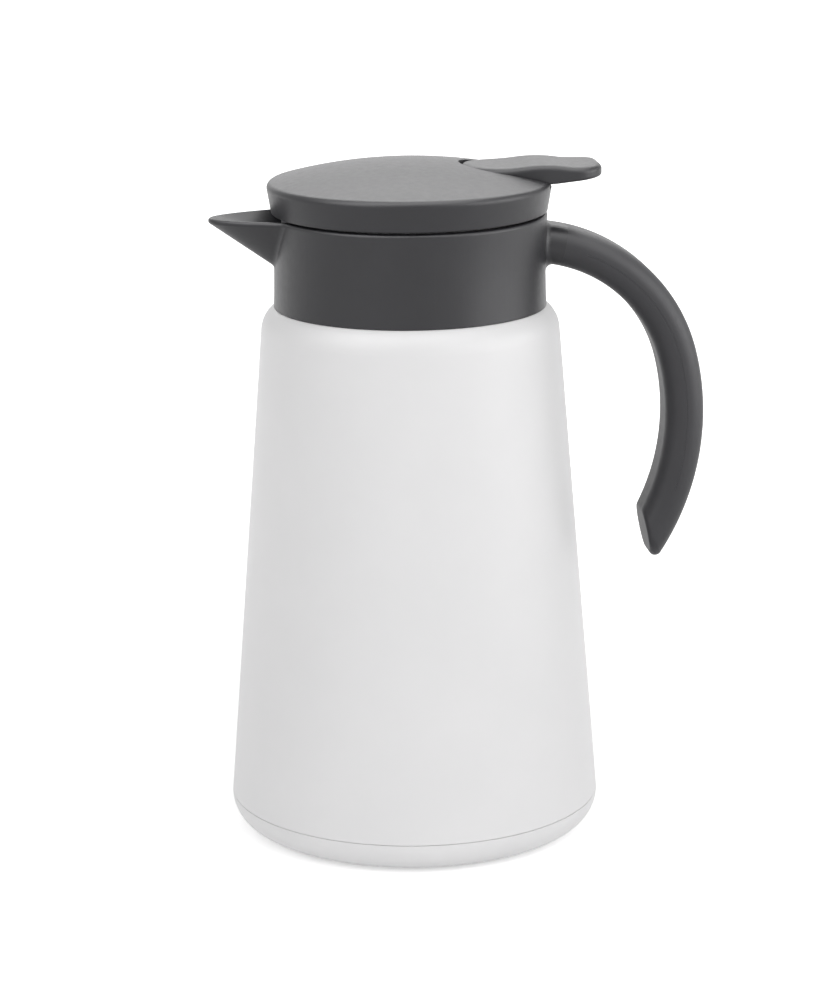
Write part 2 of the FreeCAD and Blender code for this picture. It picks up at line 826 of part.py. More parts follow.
def make_handle_shell():
    grip = new_body("handle_grip", piece=False)
    put(grip, size.handle_start, handle_centre_height, size.handle_cover_angle)
    edge = parting_height + size.handle_parting
    turn_height = handle_high - size.handle_corner
    sweep_handle(grip, [
        (handle_side, edge), (handle_side, turn_height), (flat_side, handle_high, size.handle_corner, LEFT),
        (-flat_side, handle_high), (-handle_side, turn_height, size.handle_corner, LEFT),
        (-handle_side, edge), (-inner_side, edge), (-inner_side, turn_height),
        (-flat_side, handle_high - size.handle_wall, inner_corner, RIGHT),
        (flat_side, handle_high - size.handle_wall), (inner_side, turn_height, inner_corner, RIGHT),
        (inner_side, edge),
    ])
    socket = new_sketch(grip, "YZ_Plane")
    draw(socket, section_corners(handle_side, handle_low, handle_high, size.handle_corner))
    draw(socket, section_corners(inner_side, handle_low + size.handle_wall,
                                 handle_high - size.handle_wall, inner_corner))
    swing(grip, socket, size.handle_cover_angle - size.handle_split_angle, back=True)
    finish(cut("handle_bored", fuse("handle_joined", grip, make_handle_tip()), handle_screw_bore),
           "handle_shell")


def make_handle_tip():
    """Solid lower end of the handle, cut off at a slant."""
    tip = new_body("handle_tip", piece=False)
    shift = size.handle_bend_radius - size.handle_grip_radius
    put(tip, size.handle_start + shift * size.handle_bend_angle.sin(),
        handle_centre_height + shift * size.handle_bend_angle.cos(), size.handle_tip_angle)
    low = size.handle_grip_radius - handle_half
    high = size.handle_grip_radius + handle_half
    section = new_sketch(tip, "YZ_Plane")
    draw(section, section_corners(handle_side, low, high, size.handle_corner))
    inner_angle = size.handle_end_inner_run / low * RADIAN
    outer_angle = size.handle_end_outer_run / high * RADIAN
    sweep = outer_angle + size.handle_end_over_angle
    swing(tip, section, sweep)
    inner = (low * inner_angle.sin(), low * inner_angle.cos())
    outer = (high * outer_angle.sin(), high * outer_angle.cos())
    step = [(last - first) * SLANT_OVERRUN_SHARE for first, last in zip(inner, outer)]
    far = sweep * 2
    slant = new_sketch(tip)
    draw(slant, [
        (inner[0] - step[0], inner[1] - step[1]), (outer[0] + step[0], outer[1] + step[1]),
        ((high + size.overrun) * far.sin(), (high + size.overrun) * far.cos()),
        ((low - size.overrun) * far.sin(), (low - size.overrun) * far.cos()),
    ])
    extrude(tip, slant, size.handle_width + size.overrun, cut=True)

    def end_edges(edge):
        box = edge.BoundBox
        return box.XMin > size.overrun.value
    round_edges(tip, size.handle_end_round, end_edges)
    return tip


def make_handle_cover():
    """Inner half of the grip, with a tongue along each side that reaches in behind the outer half."""
    body = new_body("handle_cover")
    put(body, size.handle_start, handle_centre_height, size.handle_cover_angle)
    cover_wall = size.handle_wall + size.spigot_clearance + size.tongue_thickness
    cover_corner = size.handle_corner - cover_wall
    turn_height = handle_low + size.handle_corner
    tongue_top = parting_height + size.tongue_height
    tongue_outer = inner_side - size.spigot_clearance
    tongue_inner = handle_side - cover_wall
    sweep_handle(body, [
        (-handle_side, parting_height), (-handle_side, turn_height),
        (-flat_side, handle_low, size.handle_corner, LEFT), (flat_side, handle_low),
        (handle_side, turn_height, size.handle_corner, LEFT), (handle_side, parting_height),
        (tongue_outer, parting_height), (tongue_outer, tongue_top), (tongue_inner, tongue_top),
        (tongue_inner, turn_height), (flat_side, handle_low + cover_wall, cover_corner, RIGHT),
        (-flat_side, handle_low + cover_wall), (-tongue_inner, turn_height, cover_corner, RIGHT),
        (-tongue_inner, tongue_top), (-tongue_outer, tongue_top), (-tongue_outer, parting_height),
    ])


# Stopper

barrel_foot = mouth_top + size.barrel_lift
barrel_inner = size.barrel_radius - size.barrel_wall
seat_top = barrel_foot - size.gasket_height - size.gasket_seat_clearance * 2
base_foot = seat_top - size.base_floor
spigot_radius = barrel_inner - size.base_clearance
deck_radius = size.lid_foot_radius - size.lid_wall - size.deck_clearance
boss_foot = lid_foot - size.stem_boss_depth
gland_floor = deck_top - size.gland_depth
stem_bore = size.stem_radius + size.running_clearance
pivot_height = deck_top + size.lever_pivot_lift


def lid_screw_holes(body, height, length):
    """Cut the three screw holes upwards from a height."""
    sketch = new_sketch(body, "XY_Plane", height)
    for angle in LID_SCREW_ANGLES:
        turn = Size.of(angle)
        draw_circle(sketch, size.lid_screw_circle * turn.cos(), size.lid_screw_circle * turn.sin(),
                    size.lid_screw_radius + size.screw_clearance)
    extrude(body, sketch, length, cut=True, both=False, back=True)


def make_stopper_body():
    body = new_body("stopper_core", piece=False)
    revolve(body, [
        (stem_bore, boss_foot), (size.stem_boss_radius, boss_foot), (size.stem_boss_radius, lid_foot),
        (barrel_inner, lid_foot), (barrel_inner, barrel_foot), (size.barrel_radius, barrel_foot),
        (size.barrel_radius, lid_foot), (deck_radius, lid_foot), (deck_radius, deck_top),
        (size.gland_radius, deck_top), (size.gland_radius, gland_floor), (stem_bore, gland_floor),
    ])
    window_foot = basin_floor + size.window_lift
    half_width = size.window_width / 2
    window = new_sketch(body, "YZ_Plane")
    draw(window, box_corners(-half_width, half_width, window_foot, window_foot + size.window_height))
    slot = extrude(body, window, size.barrel_radius * 2 + size.overrun, cut=True)
    doc.recompute()
    windows = body.newObject("PartDesign::PolarPattern", "windows")
    windows.Originals = [slot]
    windows.Axis = (window, ["V_Axis"])
    windows.Angle = FULL_TURN / 2 - FULL_TURN / WINDOW_COUNT
    windows.Occurrences = WINDOW_COUNT // 2
    body.Tip = windows
    posts = new_sketch(body, "XY_Plane", deck_top)
    post_inner = size.lug_half_width + size.post_gap
    post_outer = post_inner + size.post_thickness
    front = size.lever_pivot_reach - size.post_half_length
    back = size.lever_pivot_reach + size.post_half_length
    draw(posts, box_corners(front, back, post_inner, post_outer))
    draw(posts, box_corners(front, back, -post_outer, -post_inner))
    extrude(body, posts, size.post_height, both=False)
    pin_hole = new_sketch(body)
    draw_circle(pin_hole, size.lever_pivot_reach, pivot_height, size.lever_pin_radius + size.screw_clearance)
    extrude(body, pin_hole, post_outer * 2 + size.overrun, cut=True)
    lid_screw_holes(body, lid_foot, size.deck_thickness)
    ridges = thread_ridges("stopper_ridges", size.barrel_radius, barrel_crest, barrel_thread_low)
    finish(fuse("stopper_whole", body, ridges), "stopper_body")


def make_stopper_base():
    inner = spigot_radius - size.base_wall
    spigot_top = seat_top + size.base_spigot_height
    revolve(new_body("stopper_base"), [
        (size.port_radius, base_foot), (size.base_flange_radius, base_foot),
        (size.base_flange_radius, seat_top), (spigot_radius, seat_top), (spigot_radius, spigot_top),
        (inner, spigot_top), (inner, seat_top), (size.port_radius, seat_top),
    ])


def make_stopper_gasket():
    low = seat_top + size.gasket_seat_clearance
    high = low + size.gasket_height
    inner = spigot_radius + size.running_clearance
    lip = mouth_radius - size.seal_clearance
    valley = lip - size.gasket_groove
    revolve(new_body("stopper_gasket"), [
        (inner, low), (lip, low), (lip, low + size.gasket_lip), (valley, low + size.gasket_lip),
        (valley, high - size.gasket_lip), (lip, high - size.gasket_lip), (lip, high), (inner, high),
    ])


def make_rim_seal():
    outer = size.basin_radius - size.seal_clearance
    ring("rim_seal", outer - size.rim_seal_width, outer, lid_foot - size.rim_seal_height, lid_foot)


# Lid

def make_lid_cover():
    body = new_body("lid_cover")
    dome_radius = (size.lid_rim_radius * size.lid_rim_radius + size.lid_dome_rise * size.lid_dome_rise) \
        / size.lid_dome_rise / 2
    inner_radius = size.lid_rim_radius - size.lid_wall
    inner_rise = size.lid_dome_rise * inner_radius * inner_radius / size.lid_rim_radius / size.lid_rim_radius
    inner_dome = (inner_radius * inner_radius + inner_rise * inner_rise) / inner_rise / 2
    under_top = lid_top - size.lid_wall
    revolve(body, [
        (size.lid_foot_radius - size.lid_wall, lid_foot), (size.lid_foot_radius, lid_foot),
        (size.lid_rim_radius, lid_rim), (0, lid_top, dome_radius, LEFT), (0, under_top),
        (inner_radius, under_top - inner_rise, inner_dome, RIGHT),
    ])
    round_edges(body, size.lid_edge_round, ring_at(size.lid_rim_radius, lid_rim))
    round_edges(body, size.lid_foot_round, ring_at(size.lid_foot_radius, lid_foot))
    bosses = new_sketch(body, "XY_Plane", deck_top)
    for angle in LID_SCREW_ANGLES:
        turn = Size.of(angle)
        draw_circle(bosses, size.lid_screw_circle * turn.cos(), size.lid_screw_circle * turn.sin(),
                    size.lid_boss_radius)
    boss_top = lid_top - size.lid_dome_rise * BOSS_DOME_SHARE - size.lid_wall / 2
    extrude(body, bosses, boss_top - deck_top, both=False)
    lid_screw_holes(body, deck_top, size.lid_screw_length - size.deck_thickness + size.screw_clearance)
    notch_floor = lid_rim - size.notch_drop
    half_width = size.lever_half_width + size.lever_gap
    centre = size.lever_tip_reach + size.lever_half_width
    notch = new_sketch(body, "XY_Plane", notch_floor)
    outside = size.lid_rim_radius + size.overrun
    draw(notch, [
        (centre, half_width), (centre - half_width, 0, half_width, LEFT),
        (centre, -half_width, half_width, LEFT), (outside, -half_width), (outside, half_width),
    ])
    extrude(body, notch, lid_top - notch_floor + size.overrun, cut=True, both=False, back=True)


def make_lid_screws():
    screws = []
    for angle in LID_SCREW_ANGLES:
        turn = Size.of(angle)
        screw = new_body("lid_screw", piece=False)
        bind(screw, "Placement.Base.x", size.lid_screw_circle * turn.cos())
        bind(screw, "Placement.Base.y", size.lid_screw_circle * turn.sin())
        head_foot = lid_foot - size.lid_screw_head
        top = lid_foot + size.lid_screw_length
        revolve(screw, [
            (0, head_foot), (size.lid_screw_head_radius, head_foot), (size.lid_screw_head_radius, lid_foot),
            (size.lid_screw_radius, lid_foot), (size.lid_screw_radius, top), (0, top),
        ])
        screws.append(screw)
    group = doc.addObject("Part::Compound", "lid_screw_set")
    group.Links = screws
    finish(group, "lid_screws")


def make_lever_pin():
    body = new_body("lever_pin")
    sketch = new_sketch(body)
    draw_circle(sketch, size.lever_pivot_reach, pivot_height, size.lever_pin_radius)
    extrude(body, sketch, (size.lug_half_width + size.post_gap + size.post_thickness) * 2)


# Thumb lever

arm_foot = deck_top + size.arm_lift
arm_top = arm_foot + size.arm_thickness


def make_lever():
    body = new_body("lever")
    profile = new_sketch(body)
    belly = size.lever_pivot_reach - size.lug_radius
    wave_start = size.lever_end_reach - size.lever_wave_start_inset
    wave_end = size.lever_end_reach - size.lever_wave_end_inset
    end_top = lid_top - size.lever_end_drop
    tip_top = lid_top - size.lever_tip_drop
    tip_foot = tip_top - size.lever_tip_thickness
    tip_heel = size.lever_tip_reach + size.lug_radius
    draw(profile, [
        (size.lever_tip_reach, tip_top),
        (wave_start, lid_top - size.lever_wave_start_drop, size.lever_dish_radius, LEFT),
        (wave_end, lid_top - size.lever_wave_end_drop, size.lever_wave_radius, RIGHT),
        (size.lever_end_reach, end_top, size.lever_end_radius, LEFT),
        (size.lever_end_reach, end_top - size.lever_end_thickness),
        (size.lid_rim_radius, lid_top - size.lever_rim_drop), (belly, lid_top - size.lever_belly_drop),
        (tip_heel, tip_foot), (size.lever_tip_reach, tip_foot),
    ])
    extrude(body, profile, size.lever_half_width * 2)
    plan = new_sketch(body, "XY_Plane", lid_rim)
    centre = size.lever_tip_reach + size.lever_half_width
    side = size.lever_half_width
    margin = side + size.overrun
    corner_start = size.lever_end_reach - size.lever_corner
    corner_side = side - size.lever_corner
    draw(plan, box_corners(size.lever_tip_reach - size.overrun, size.lever_end_reach + size.overrun,
                           -margin, margin))
    draw(plan, [
        (centre, side), (size.lever_tip_reach, 0, side, LEFT), (centre, -side, side, LEFT),
        (corner_start, -side), (size.lever_end_reach, -corner_side, size.lever_corner, LEFT),
        (size.lever_end_reach, corner_side), (corner_start, side, size.lever_corner, LEFT),
    ])
    extrude(body, plan, size.lid_side_height * 2, cut=True)
    round_edges(body, size.lever_top_round, lever_top_edges)
    round_edges(body, size.lever_foot_round, lever_foot_edges)

    lug = new_sketch(body)
    front = size.lever_pivot_reach - size.lug_radius
    back = size.lever_pivot_reach + size.lug_radius
    lug_top = lid_top - size.lever_rim_drop + size.lug_bite
    draw(lug, [
        (front, lug_top), (front, pivot_height), (size.lever_pivot_reach, pivot_height - size.lug_radius,
                                                   size.lug_radius, LEFT),
        (back, pivot_height, size.lug_radius, LEFT), (back, lug_top),
    ])
    extrude(body, lug, size.lug_half_width * 2)
    arm = new_sketch(body)
    draw(arm, [
        (-size.fork_reach, arm_foot), (size.lever_pivot_reach, arm_foot),
        (size.lever_pivot_reach, arm_foot + size.arm_root_rise), (size.head_radius, arm_top),
        (-size.fork_reach, arm_top),
    ])
    extrude(body, arm, size.arm_half_width * 2)
    fork = new_sketch(body, "XY_Plane", arm_foot)
    fork_side = size.stem_radius + size.fork_clearance
    fork_end = -size.fork_reach - size.overrun
    draw(fork, [
        (0, -fork_side), (fork_side, 0, fork_side, LEFT), (0, fork_side, fork_side, LEFT),
        (fork_end, fork_side), (fork_end, -fork_side),
    ])
    extrude(body, fork, size.overrun * 2, cut=True)
    bore = new_sketch(body)
    draw_circle(bore, size.lever_pivot_reach, pivot_height, size.lever_pin_radius + size.running_clearance)
    extrude(body, bore, size.lever_half_width * 2 + size.overrun, cut=True)


def lever_top_edges(edge):
    """Pick the border of the lever's upper face, but not the lines across it."""
    box = edge.BoundBox
    across = near(box.XMin, box.XMax) and not near(box.XMax, size.lever_end_reach)
    lowest = lid_top - size.lever_tip_drop - size.lever_tip_thickness + size.lug_bite
    return box.ZMin > lowest.value and not across


def lever_foot_edges(edge):
    """Pick the border of the lever's lower face where it stands out past the lid."""
    box = edge.BoundBox
    foot = lid_top - size.lever_end_drop - size.lever_end_thickness + size.lug_bite
    outside = size.lid_rim_radius + size.lug_bite
    return box.ZMax < foot.value and box.XMax > outside.value


# Pouring valve

seal_foot = seat_top + size.valve_seat_clearance
disc_foot = seal_foot + size.valve_seal_height
disc_top = disc_foot + size.valve_disc_height
valve_radius = size.port_radius + size.valve_overlap
head_foot = arm_top + size.head_clearance
head_top = head_foot + size.head_height


def make_valve_stem():
    foot = disc_foot - size.stem_tail
    flange_top = disc_top + size.stem_flange_height
    revolve(new_body("valve_stem"), [
        (0, foot), (size.stem_radius, foot), (size.stem_radius, disc_top),
        (size.stem_flange_radius, disc_top), (size.stem_flange_radius, flange_top),
        (size.stem_radius, flange_top), (size.stem_radius, head_foot),
        (size.stem_tip_radius, head_foot), (size.stem_tip_radius, head_top), (0, head_top),
    ])


def make_valve_rings():
    ring("stem_head", size.stem_tip_radius + size.screw_clearance, size.head_radius, head_foot, head_top)
    ring("valve_disc", stem_bore, valve_radius, disc_foot, disc_top)
    ring("valve_seal", valve_radius - size.valve_seal_width, valve_radius, seal_foot, disc_foot)
    ring("disc_clip", stem_bore, size.clip_radius, disc_foot - size.clip_height, disc_foot)
    packing_top = gland_floor + size.stem_seal_height
    gland_fit = size.gland_radius - size.screw_clearance
    ring("stem_seal", stem_bore, gland_fit, gland_floor, packing_top)
    ring("stem_bush", stem_bore, gland_fit, packing_top, deck_top)


def arc_from(start, heading, end):
    """Arc that leaves the start along the heading and reaches the end."""
    chord = end - start
    along = chord / chord.Length
    bulge = heading - along * heading.dot(along)
    lean = heading.getAngle(chord)
    middle = start + chord / 2 + bulge / bulge.Length * (chord.Length / 2 * math.tan(lean / 2))
    return Part.Arc(start, middle, end).toShape()


def make_valve_spring():
    """Coil of one round wire on pairs of arcs, with a short straight run at each end."""
    radius = size.spring_radius.value
    wire = size.spring_wire.value
    low = (disc_top + size.spring_clearance + size.spring_wire).value
    high = (boss_foot - size.spring_clearance - size.spring_wire).value
    steps = SPRING_TURNS * STEPS_PER_TURN
    climb = (high - low) / SPRING_TURNS
    points, headings = [], []
    for step in range(steps + 1):
        angle = 2 * math.pi * step / STEPS_PER_TURN
        height = low + climb * step / STEPS_PER_TURN
        points.append(Vector(radius * math.cos(angle), radius * math.sin(angle), height))
        heading = Vector(-radius * math.sin(angle), radius * math.cos(angle), climb / (2 * math.pi))
        headings.append(heading.normalize())
    edges = [Part.makeLine(points[0] - headings[0] * wire * 2, points[0])]
    for first, last, leave, arrive in zip(points, points[1:], headings, headings[1:]):
        gap, both = last - first, leave + arrive
        bend = 2 * (1 - leave.dot(arrive))
        reach = (math.sqrt(gap.dot(both) ** 2 + bend * gap.dot(gap)) - gap.dot(both)) / bend
        joint = (first + leave * reach + last - arrive * reach) / 2
        edges.append(arc_from(first, leave, joint))
        edges.append(arc_from(last, -arrive, joint))
    edges.append(Part.makeLine(points[-1], points[-1] + headings[-1] * wire * 2))
    path = Part.Wire(Part.__sortEdges__(edges))
    section = Part.Wire([Part.makeCircle(wire, points[0] - headings[0] * wire * 2, headings[0])])
    spring = doc.addObject("Part::Feature", "valve_spring_coil")
    spring.Shape = path.makePipeShell([section], True, False)
    dots = path.discretize(Number=steps * STEPS_PER_TURN)
    apart = len(dots) // SPRING_TURNS // 2
    least = min((one - other).Length for number, one in enumerate(dots) for other in dots[number + apart:])
    print("spring self-gap", round(least - wire * 2, 2))
    finish(spring, "valve_spring")


make_outer_shell()
make_inner_flask()
make_base_plate()
make_evacuation_seal()
make_getter()
make_base_cap()
make_base_pad()
handle_screw_bore = make_handle_screw_bore()
make_neck_collar()
make_mouth_gasket()
make_handle_shell()
make_handle_cover()
make_handle_screw()
make_stopper_body()
make_stopper_base()
make_stopper_gasket()
make_rim_seal()
make_lid_cover()
make_lid_screws()
make_lever_pin()
make_lever()
make_valve_stem()
make_valve_rings()
make_valve_spring()

doc.recompute()
failed = [item.Label for item in doc.Objects if {"Invalid", "Error"} & set(item.State)]
broken = [item.Label for item in parts if item.Shape.isNull() or not item.Shape.isValid()]
if failed or broken:
    raise RuntimeError(f"failed {failed}, not valid {broken}")
os.makedirs("parts", exist_ok=True)
for item in parts:
    item.Shape.exportStep(f"parts/{item.Label}.step")
    print(item.Label, len(item.Shape.Solids), round(item.Shape.Volume, 1))
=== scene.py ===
import bpy
import json
import math
from mathutils import Matrix, Vector


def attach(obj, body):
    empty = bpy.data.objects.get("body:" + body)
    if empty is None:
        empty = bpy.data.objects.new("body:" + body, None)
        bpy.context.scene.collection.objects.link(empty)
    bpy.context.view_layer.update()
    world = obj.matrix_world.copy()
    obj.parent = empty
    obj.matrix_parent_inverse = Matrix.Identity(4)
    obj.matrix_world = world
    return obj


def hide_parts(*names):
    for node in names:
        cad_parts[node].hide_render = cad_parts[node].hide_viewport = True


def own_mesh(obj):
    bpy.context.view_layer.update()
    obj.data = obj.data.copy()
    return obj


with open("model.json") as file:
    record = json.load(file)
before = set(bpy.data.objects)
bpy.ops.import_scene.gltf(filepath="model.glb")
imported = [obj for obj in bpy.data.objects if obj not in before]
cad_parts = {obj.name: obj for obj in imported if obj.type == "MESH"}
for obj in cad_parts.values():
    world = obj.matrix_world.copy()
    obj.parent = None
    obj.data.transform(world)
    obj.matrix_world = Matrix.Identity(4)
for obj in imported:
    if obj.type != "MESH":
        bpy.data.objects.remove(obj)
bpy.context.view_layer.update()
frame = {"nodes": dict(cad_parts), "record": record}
nodes = frame["nodes"]
scene = bpy.context.scene

# Camera: lengths in metres, angles in degrees, the lens in pixels of the picture
CAMERA_DISTANCE = 1.0259
CAMERA_HEIGHT = 0.3754
CAMERA_AZIMUTH = -6.5
CAMERA_PITCH = 14.51
CAMERA_ROLL = -0.533
CAMERA_SIDESTEP = 0.000334
FOCAL_PIXELS = 3188
IMAGE_HEIGHT = 1000
SENSOR = 36.0
CLIP_START = 0.05
CLIP_END = 100

# Depth of surface relief and softness of edges, in metres
EDGE_SOFTNESS = 0.00025
SEAM_SOFTNESS = 0.00002
PEEL_DEPTH = 0.00002
GRAIN_DEPTH = 0.00003
BRUSH_DEPTH = 0.00001
SKIN_DEPTH = 0.00002
RUBBER_DEPTH = 0.00004
SUBSURFACE_REACH = 0.002

# Fineness of noise and grain, in cycles per metre
COAT_CLOUD, COAT_GLOSS_CLOUD = 30, 250
PEEL_COARSE, PEEL_FINE = 900, 2600
PLASTIC_CLOUD, PLASTIC_GLOSS_CLOUD = 60, 500
GRAIN = 2600
INNER_GRAIN = 3600
BRUSH = 400
BRUSH_STRETCH = (1, 1, 14)
SILICONE_CLOUD, SILICONE_GLOSS_CLOUD = 120, 700
SKIN = 2500
RUBBER_CLOUD, RUBBER_GLOSS_CLOUD = 300, 900
RUBBER_GRAIN = 3000
CLOUD_DETAIL = 4
GLOSS_DETAIL = 3

# Strength of relief, gloss and roughness
PEEL_SHARE = 0.3
GRAIN_SHARE = 0.35
BRUSH_SHARE = 0.3
SKIN_SHARE = 0.3
RUBBER_SHARE = 0.5
COAT_SPECULAR_SHARE = 0.3
PLASTIC_SPECULAR_SHARE = 0.34
SUBSURFACE_SHARE = 0.25
COAT_ROUGH_SHARES = (0.42, 0.5)
GREY_ROUGH_SHARES = (0.37, 0.43)
HANDLE_ROUGH_SHARES = (0.45, 0.51)
INNER_ROUGH_SHARES = (0.28, 0.36)
STEEL_ROUGH_SHARES = (0.22, 0.36)
SILICONE_ROUGH_SHARES = (0.42, 0.56)
RUBBER_ROUGH_SHARES = (0.65, 0.8)
NOISE_SPREAD_SHARES = (0.25, 0.75)

# Colours, each drifting between two
COAT_COLOURS = ((0.79, 0.787, 0.792), (0.82, 0.815, 0.82))
GREY_COLOURS = ((0.0176, 0.0172, 0.0198), (0.0216, 0.0212, 0.0242))
# Handle: the same grey plastic painted lighter, a painted lift of light for the light the handle
# catches
HANDLE_PAINTED_LIGHT_COLOURS = ((0.0255, 0.025, 0.028), (0.0295, 0.029, 0.0325))
INNER_COLOURS = ((0.016, 0.016, 0.018), (0.021, 0.021, 0.023))
STEEL_COLOURS = ((0.50, 0.50, 0.50), (0.62, 0.62, 0.61))
SILICONE_COLOURS = ((0.52, 0.52, 0.50), (0.60, 0.60, 0.58))
# Seal behind the lid's gap: grey picked to set the shade seen in the gap, painted shade
GAP_SHADE_SILICONE_COLOURS = ((0.15, 0.15, 0.156), (0.18, 0.18, 0.186))
RUBBER_COLOURS = ((0.060, 0.060, 0.063), (0.085, 0.085, 0.088))

# Studio: lengths in metres
FLOOR_SIZE = 40
FLOOR_DROP = 0.0002
FLOOR_COLOUR = (0.92, 0.92, 0.92, 1)
FLOOR_ROUGH_SHARE = 0.9
FLOOR_GLOW_NEAR = 0.46
FLOOR_GLOW_FAR = 0.9
FLOOR_FADE_START = 0.16
FLOOR_FADE_END = 0.55
SKY_LIGHT = 0.62
SKY_SEEN = 1.0
WHITE = (1, 1, 1, 1)
AIM = (0, 0, 0.12)

# Soft boxes: name, place, width and height, power in watts, and whether it shows in reflections only
LIGHTS = (
    ("key", (1.0, -1.3, 1.1), (1.2, 1.2), 8.9, False),
    ("fill", (-1.0, -1.3, 0.9), (1.2, 1.2), 4.7, False),
    ("back", (0.2, 1.5, 0.95), (2.4, 1.3), 6.3, True),
    ("high", (0.2, 1.0, 1.35), (1.8, 0.8), 16.5, True),
    ("side", (1.25, -0.45, 0.4), (1.3, 0.9), 16, True),
    ("top", (0.1, -0.3, 1.4), (1.5, 1.3), 28, True),
    ("left", (-0.8, -0.45, 1.0), (0.9, 0.9), 12, True),
)


# Shader helpers

def new_material(name):
    material = bpy.data.materials.new(name)
    material.use_nodes = True
    tree = material.node_tree
    return material, tree, tree.nodes["Principled BSDF"]


def add_node(tree, kind, sockets=None, **settings):
    """Add a shader node with its settings and with values on its sockets."""
    node = tree.nodes.new(kind)
    for name, value in settings.items():
        setattr(node, name, value)
    for name, value in (sockets or {}).items():
        node.inputs[name].default_value = value
    return node


def place(tree, stretch=(1, 1, 1)):
    """The object's own coordinates, in metres."""
    coordinates = add_node(tree, "ShaderNodeTexCoord")
    mapping = add_node(tree, "ShaderNodeMapping", {"Scale": stretch})
    tree.links.new(coordinates.outputs["Object"], mapping.inputs["Vector"])
    return mapping.outputs["Vector"]


def noise(tree, scale, detail=2, stretch=(1, 1, 1)):
    """Noise in the object's own space, in cycles per metre."""
    texture = add_node(tree, "ShaderNodeTexNoise", {"Scale": scale, "Detail": detail})
    tree.links.new(place(tree, stretch), texture.inputs["Vector"])
    return texture.outputs["Fac"]


def cells(tree, scale):
    """Small rounded cells, as a moulded grain has them."""
    texture = add_node(tree, "ShaderNodeTexVoronoi", {"Scale": scale}, feature="SMOOTH_F1")
    tree.links.new(place(tree), texture.inputs["Vector"])
    return texture.outputs["Distance"]


def spread(tree, source, low, high, start=NOISE_SPREAD_SHARES[0], end=NOISE_SPREAD_SHARES[1]):
    """Spread a value between two numbers."""
    ends = {"From Min": start, "From Max": end, "To Min": low, "To Max": high}
    node = add_node(tree, "ShaderNodeMapRange", ends)
    tree.links.new(source, node.inputs["Value"])
    return node.outputs["Result"]


def mix_colour(tree, source, first, second):
    """A colour between two, by a value."""
    node = add_node(tree, "ShaderNodeMix", data_type="RGBA")
    inputs = {socket.identifier: socket for socket in node.inputs}
    inputs["A_Color"].default_value = (*first, 1)
    inputs["B_Color"].default_value = (*second, 1)
    tree.links.new(spread(tree, source, 0, 1), inputs["Factor_Float"])
    return next(socket for socket in node.outputs if socket.identifier == "Result_Color")


def total(tree, *sources):
    """Sum of several values."""
    result = sources[0]
    for source in sources[1:]:
        node = add_node(tree, "ShaderNodeMath", operation="ADD")
        tree.links.new(result, node.inputs[0])
        tree.links.new(source, node.inputs[1])
        result = node.outputs["Value"]
    return result


def relief(tree, shader, height, depth, strength, softness=EDGE_SOFTNESS):
    """Surface relief on top of softened edges."""
    edge = add_node(tree, "ShaderNodeBevel", {"Radius": softness})
    node = add_node(tree, "ShaderNodeBump", {"Distance": depth, "Strength": strength})
    tree.links.new(height, node.inputs["Height"])
    tree.links.new(edge.outputs["Normal"], node.inputs["Normal"])
    tree.links.new(node.outputs["Normal"], shader.inputs["Normal"])


def surface(name, colours, cloud, rough, gloss_cloud):
    """Material whose colour and roughness drift between two values."""
    material, tree, shader = new_material(name)
    colour = mix_colour(tree, noise(tree, cloud, CLOUD_DETAIL), *colours)
    tree.links.new(colour, shader.inputs["Base Color"])
    roughness = spread(tree, noise(tree, gloss_cloud, GLOSS_DETAIL), *rough)
    tree.links.new(roughness, shader.inputs["Roughness"])
    return material, tree, shader


# Materials

def white_coat():
    """Satin powder coat with a very fine orange peel."""
    material, tree, shader = surface("white_coat", COAT_COLOURS, COAT_CLOUD, COAT_ROUGH_SHARES,
                                     COAT_GLOSS_CLOUD)
    shader.inputs["Specular IOR Level"].default_value = COAT_SPECULAR_SHARE
    peel = total(tree, noise(tree, PEEL_COARSE), noise(tree, PEEL_FINE, detail=1))
    relief(tree, shader, peel, PEEL_DEPTH, PEEL_SHARE)
    return material


def plastic(name, colours, rough, grain, softness=EDGE_SOFTNESS):
    """Moulded plastic with a fine grain."""
    material, tree, shader = surface(name, colours, PLASTIC_CLOUD, rough, PLASTIC_GLOSS_CLOUD)
    shader.inputs["Specular IOR Level"].default_value = PLASTIC_SPECULAR_SHARE
    height = total(tree, cells(tree, grain), noise(tree, grain * 2))
    relief(tree, shader, height, GRAIN_DEPTH, GRAIN_SHARE, softness)
    return material


def steel():
    """Brushed stainless steel."""
    material, tree, shader = new_material("steel")
    brush = noise(tree, BRUSH, CLOUD_DETAIL, BRUSH_STRETCH)
    tree.links.new(mix_colour(tree, brush, *STEEL_COLOURS), shader.inputs["Base Color"])
    tree.links.new(spread(tree, brush, *STEEL_ROUGH_SHARES), shader.inputs["Roughness"])
    shader.inputs["Metallic"].default_value = 1
    relief(tree, shader, brush, BRUSH_DEPTH, BRUSH_SHARE)
    return material


def silicone(name, colours):
    """Soft, slightly translucent silicone."""
    material, tree, shader = surface(name, colours, SILICONE_CLOUD, SILICONE_ROUGH_SHARES,
                                     SILICONE_GLOSS_CLOUD)
    shader.inputs["Subsurface Weight"].default_value = SUBSURFACE_SHARE
    shader.inputs["Subsurface Radius"].default_value = (SUBSURFACE_REACH,) * 3
    relief(tree, shader, noise(tree, SKIN), SKIN_DEPTH, SKIN_SHARE)
    return material


def foot_rubber():
    """Matte rubber of the foot pad."""
    material, tree, shader = surface("foot_rubber", RUBBER_COLOURS, RUBBER_CLOUD, RUBBER_ROUGH_SHARES,
                                     RUBBER_GLOSS_CLOUD)
    relief(tree, shader, noise(tree, RUBBER_GRAIN, GLOSS_DETAIL), RUBBER_DEPTH, RUBBER_SHARE)
    return material


